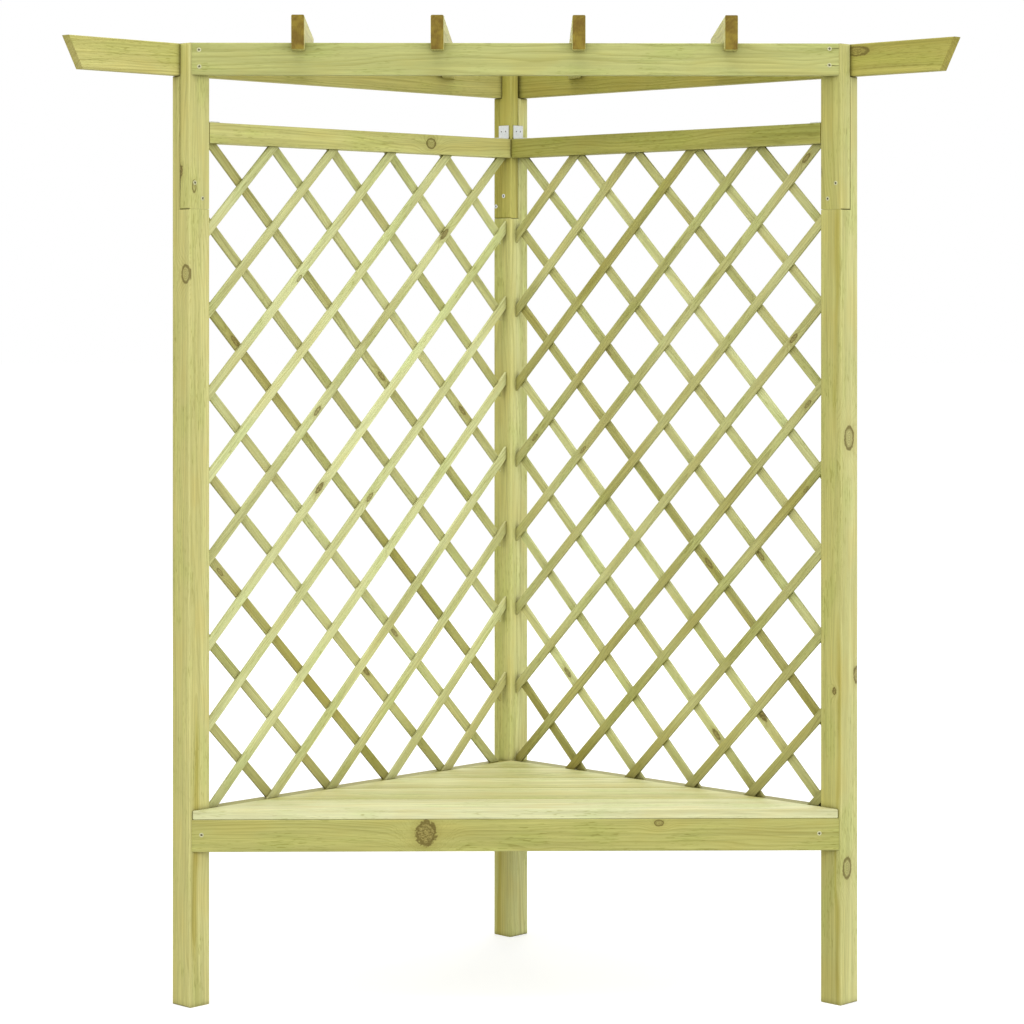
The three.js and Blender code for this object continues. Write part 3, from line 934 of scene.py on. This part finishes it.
def zinc_material():
    """Dull zinc plating, in mottled patches with a little white bloom."""
    material, graph = new_material("zinc_plate")
    source = graph.node("ShaderNodeTexCoord").outputs["Object"]
    patch = graph.noise(graph.scale(source, 260.0))
    bloom = graph.noise(graph.scale(source, 70.0), 3.0, 0.6)
    colour = graph.mix(patch, paint(196, 200, 198), paint(236, 238, 234))
    colour = graph.mix(graph.step(bloom, 0.55, 0.75, 0.0, 0.5), colour, paint(206, 206, 196))
    roughness = graph.total(0.32, (patch, 0.2))
    graph.surface({"Base Color": colour, "Roughness": roughness, "Metallic": 0.85}, bloom,
                  strength=0.3, distance=0.3 * MM)
    return material


def coat_material(name, pale, dark, metallic, roughness):
    """The olive coating of deck screws, or the painted shade in a driver recess."""
    material, graph = new_material(name)
    source = graph.node("ShaderNodeTexCoord").outputs["Object"]
    patch = graph.noise(graph.scale(source, 900.0), 3.0, 0.6)
    colour = graph.mix(patch, pale, dark)
    graph.surface({"Base Color": colour, "Roughness": roughness, "Metallic": metallic})
    return material


ZINC = zinc_material()
COAT = coat_material("screw_coat", paint(222, 223, 186), paint(176, 173, 118), 0.1, 0.4)
# Painted shade: a dark colour on the walls and bottom of each screw's cross recess
RECESS_SHADE = coat_material("driver_recess_shade", paint(74, 66, 28), paint(38, 32, 12), 0.0, 0.8)
for name in nodes:
    if name.endswith("_bracket"):
        coat_node(name, ZINC)

# A screw's head, whose top is a share of its width, and the cross in it, which narrows downwards
HEAD_RADIUS = 0.0045
HEAD_RISE = 0.0005
HEAD_TOP_SHARE = 0.93
HEAD_SIDES = 20
CROSS_LONG = 0.0025
CROSS_WIDE = 0.0008
CROSS_DEEP = 0.0004
CROSS_FOOT_SHARE = 0.8


def shrunk(points, share):
    return [(x * share, y * share) for x, y in points]


def add_screw(mesh, place, outward, turn, radius):
    """A screw's head that stands a hair proud of what it holds, with a cross recess."""
    size = radius / HEAD_RADIUS
    side = outward.orthogonal().normalized()
    other = outward.cross(side)
    right = side * math.cos(turn) + other * math.sin(turn)
    up = outward.cross(right)

    def ring(points, rise):
        return [mesh.verts.new(place + right * x + up * y + outward * rise) for x, y in points]

    def loop(verts):
        return [mesh.edges.new((vert, verts[index - 1])) for index, vert in enumerate(verts)]

    angles = [2 * math.pi * step / HEAD_SIDES for step in range(HEAD_SIDES)]
    circle = [(math.cos(angle) * radius, math.sin(angle) * radius) for angle in angles]
    reach = CROSS_LONG * size
    wide = CROSS_WIDE * size
    arm = [(reach, -wide), (reach, wide), (wide, wide)]
    outline = []
    for _ in range(4):
        outline += arm
        arm = [(-y, x) for x, y in arm]
    low = ring(circle, 0.0)
    rim = ring(shrunk(circle, HEAD_TOP_SHARE), HEAD_RISE)
    lip = ring(outline, HEAD_RISE)
    well = ring(shrunk(outline, CROSS_FOOT_SHARE), HEAD_RISE - CROSS_DEEP)
    bmesh.ops.triangle_fill(mesh, edges=loop(rim) + loop(lip), use_beauty=True, normal=outward)
    # The head's side takes the coating, and the recess's walls and bottom take the painted shade
    for first, second, part in ((low, rim, 0), (lip, well, 1)):
        for index in range(len(first)):
            quad = (first[index - 1], first[index], second[index], second[index - 1])
            mesh.faces.new(quad).material_index = part
    mesh.faces.new(well).material_index = 1


def screwdriver(mesh, seed):
    """A function that adds screws to mesh, each with its recess turned at random."""
    turns = random.Random(seed)

    def drive(place, outward, radius=HEAD_RADIUS):
        add_screw(mesh, place, outward, turns.uniform(0, math.pi), radius)

    return drive


# A staple's crown: its line from end to end, as shares of half its length and of its rise, and
# its section from side to side, as shares of half its thickness and, downwards, of all of it
STAPLE_LONG = 0.009
STAPLE_THICK = 0.0011
STAPLE_RISE = 0.9 * STAPLE_THICK
STAPLE_LINE_SHARES = ((-1.0, -0.1), (-0.9, 0.7), (-0.7, 1.0), (0.7, 1.0), (0.9, 0.7), (1.0, -0.1))
STAPLE_SECTION_SHARES = ((-1.0, 0.35), (-0.7, 0.0), (0.7, 0.0), (1.0, 0.35))


def add_staple(mesh, place, outward, heading):
    """The crown of a staple driven almost flush, with rounded shoulders."""
    across = outward.cross(heading)
    rails = []
    thick = STAPLE_THICK
    for along, rise in STAPLE_LINE_SHARES:
        centre = place + heading * STAPLE_LONG / 2 * along + outward * STAPLE_RISE * rise
        rails.append([
            mesh.verts.new(centre + across * thick / 2 * side - outward * thick * fall)
            for side, fall in STAPLE_SECTION_SHARES
        ])
    for first, second in zip(rails, rails[1:]):
        for index in range(len(first) - 1):
            mesh.faces.new((first[index], first[index + 1], second[index + 1], second[index]))


def hardware(name, build, finish):
    """One object of small steel pieces that build adds to its mesh."""
    mesh = bmesh.new()
    build(mesh)
    bmesh.ops.recalc_face_normals(mesh, faces=mesh.faces[:])
    piece = mesh_in_scene(name, mesh, finish, RECESS_SHADE)
    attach(piece, "root")


# Screws in the front beam and in the apron, as how far right and how high up
FRONT_SCREWS = (
    (-0.6207, 1.9008), (-0.6201, 1.8675), (0.6326, 1.9044), (0.6322, 1.8716),
    (-0.6157, 0.3428), (0.6122, 0.3429),
)

# Screws in a front post's splice, on its inner face, and through a side beam into the post, on
# the outer face, as how far along the wall and how high up
SPLICE_SCREWS = ((0.9343, 1.6066), (0.9544, 1.6374))
SIDE_BEAM_SCREWS = ((0.93, 1.90), (0.955, 1.866))

# Screws in the back post's splice, as how far in from its outer face and how high up
BACK_SCREWS = ((0.0299, 1.6343), (0.0064, 1.6116))

# How far from a rafter's rear tip its screw is
RAFTER_SCREW_IN = 1.5 * BEAM_THICK


def frame_screws(mesh):
    """The countersunk screws that hold the beams and the apron to the posts, and the splices."""
    drive = screwdriver(mesh, 7)
    for x, height in FRONT_SCREWS:
        drive(Vector((x, BEAM_FACE, height)), -REARWARD)
    for side in SIDES:
        for along, height in SPLICE_SCREWS:
            drive(wall_point(side, along, INNER_FACE, height), INWARD[side])
        for along, height in SIDE_BEAM_SCREWS:
            drive(wall_point(side, along, 0.0, height), -INWARD[side])


def rafter_screws(mesh):
    """One screw down through each rafter into the beam at either end."""
    drive = screwdriver(mesh, 15)
    for rafter in RAFTERS:
        low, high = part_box(rafter)
        for y in (BEAM_FACE + BEAM_THICK / 2, high.y - RAFTER_SCREW_IN):
            drive(Vector(((low.x + high.x) / 2, y, high.z)), UP)


def crossing_staples(mesh):
    """A staple through the two laths of each crossing, driven from outside."""
    for side in SIDES:
        for place, heading in CROSSINGS[side]:
            add_staple(mesh, place, -INWARD[side], heading)


def splice_screws(mesh):
    """The two screws of the back post's splice, on its left face."""
    drive = screwdriver(mesh, 9)
    for deep, height in BACK_SCREWS:
        drive(wall_point("left", POST_SIDE, deep, height), ALONG["left"])


# A bracket's metal, how far along a leg its screws are, and how far each is off the leg's middle
BRACKET_THICK = 0.002
BRACKET_REACH = 0.017
BRACKET_SPREAD = 0.0065
BRACKET_SCREW = 0.0032


def bracket_screws(mesh):
    """Two round heads in each leg of each bracket, on the face away from the timber."""
    drive = screwdriver(mesh, 11)
    face = BRACKET_THICK + FIT
    for side in SIDES:
        for level, lift in (("top", 1), ("bottom", -1)):
            low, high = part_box(f"{side}_{level}_back_bracket")
            base = low.z if lift > 0 else high.z
            for post, sign in ((POST_SIDE, 1), (WALL_LENGTH - POST_SIDE, -1)):
                for across in (-BRACKET_SPREAD, BRACKET_SPREAD):
                    deep = RAIL_MIDDLE + across
                    post_leg = wall_point(side, post + sign * face, deep,
                                          base + lift * BRACKET_REACH)
                    drive(post_leg, ALONG[side] * sign, BRACKET_SCREW)
                    rail_leg = wall_point(side, post + sign * BRACKET_REACH, deep,
                                          base + lift * BRACKET_THICK)
                    drive(rail_leg, UP * lift, BRACKET_SCREW)


hardware("frame_screws", frame_screws, COAT)
hardware("rafter_screws", rafter_screws, COAT)
hardware("crossing_staples", crossing_staples, ZINC)
hardware("splice_screws", splice_screws, ZINC)
hardware("bracket_screws", bracket_screws, ZINC)

# Light of the dome round the object, where 1 is the white that the camera sees, how far the
# floor reaches, its own colour, and the glow that the camera sees it with, to near that white
DOME = 0.74
FLOOR_REACH = 60.0
FLOOR_CELLS = 8
FLOOR_COLOUR = (0.56, 0.56, 0.55, 1.0)
FLOOR_GLOW = 0.62
WHITE = (1.0, 1.0, 1.0, 1.0)


def seen_by_camera(graph):
    """1 for what the camera sees, also in a mirror or through glass, and 0 for other light."""
    path = graph.node("ShaderNodeLightPath").outputs
    seen = graph.math("MAXIMUM", path["Is Camera Ray"], path["Is Glossy Ray"])
    return graph.math("MAXIMUM", seen, path["Is Transmission Ray"])


def add_floor():
    """A white floor that takes the shadow."""
    material, graph = new_material("pale_floor")
    graph.tree.nodes.remove(graph.tree.nodes["Principled BSDF"])
    spread = graph.node("ShaderNodeBsdfDiffuse", {"Color": FLOOR_COLOUR})
    strength = graph.times(seen_by_camera(graph), FLOOR_GLOW)
    glow = graph.node("ShaderNodeEmission", {"Strength": strength})
    both = graph.node("ShaderNodeAddShader", {0: spread.outputs[0], 1: glow.outputs[0]})
    graph.put(graph.tree.nodes["Material Output"].inputs["Surface"], both.outputs[0])
    mesh = bmesh.new()
    bmesh.ops.create_grid(mesh, x_segments=FLOOR_CELLS, y_segments=FLOOR_CELLS, size=FLOOR_REACH)
    floor = mesh_in_scene("floor", mesh, material)


def add_dome():
    """White beyond the floor for what the camera sees, and a plain even light for the rest."""
    world = bpy.data.worlds.new("studio")
    world.use_nodes = True
    bpy.context.scene.world = world
    graph = Graph(world.node_tree)
    strength = graph.total(DOME, (seen_by_camera(graph), 1.0 - DOME))
    ground = world.node_tree.nodes["Background"]
    graph.put(ground.inputs["Color"], WHITE)
    graph.put(ground.inputs["Strength"], strength)


# Soft boxes: where each stands, how high over the origin it is aimed, its side and its power
SOFT_BOXES = {
    "right_box": ((4.6, -5.2, 2.2), 0.8, 2.8, 134.0),
    "left_box": ((-4.8, -5.2, 2.4), 0.9, 2.8, 103.0),
    "top_box": ((-0.3, -1.0, 5.6), 0.4, 2.6, 88.0),
    "back_box": ((0.6, 6.2, 3.0), 0.9, 3.2, 120.0),
}


def add_soft_box(name, place, aim, size, power):
    lamp = bpy.data.lights.new(name, "AREA")
    lamp.shape = "RECTANGLE"
    lamp.size = size
    lamp.size_y = size
    lamp.energy = power
    thing = in_scene(name, lamp)
    thing.location = place
    thing.rotation_euler = (UP * aim - Vector(place)).to_track_quat("-Z", "Y").to_euler()


add_floor()
add_dome()
for name, (place, aim, size, power) in SOFT_BOXES.items():
    add_soft_box(name, place, aim, size, power)

# The camera stands at eye height in front of the open corner, level, a hair off square
FOCAL_PIXELS = 2974.8
FRAME_PIXELS = 1024
HORIZON_ROW = 301.24
CAMERA_HEIGHT = 1.4018
CAMERA_TURN = 0.0151
CAMERA_AWAY = 6.6299
CAMERA_ASIDE = 0.0032
CAMERA_FAR = 200.0


def add_camera():
    data = bpy.data.cameras.new("camera")
    data.lens = data.sensor_width * FOCAL_PIXELS / FRAME_PIXELS
    data.shift_y = (HORIZON_ROW - FRAME_PIXELS / 2) / FRAME_PIXELS
    data.clip_end = CAMERA_FAR
    camera = in_scene("camera", data)
    away = Matrix.Rotation(-CAMERA_TURN, 3, "Z") @ Vector((CAMERA_ASIDE, -CAMERA_AWAY, 0.0))
    camera.location = CORNER + away + UP * CAMERA_HEIGHT
    camera.rotation_euler = (math.pi / 2, 0.0, -CAMERA_TURN)
    bpy.context.scene.camera = camera


add_camera()

bpy.context.scene.view_settings.view_transform = "Standard"
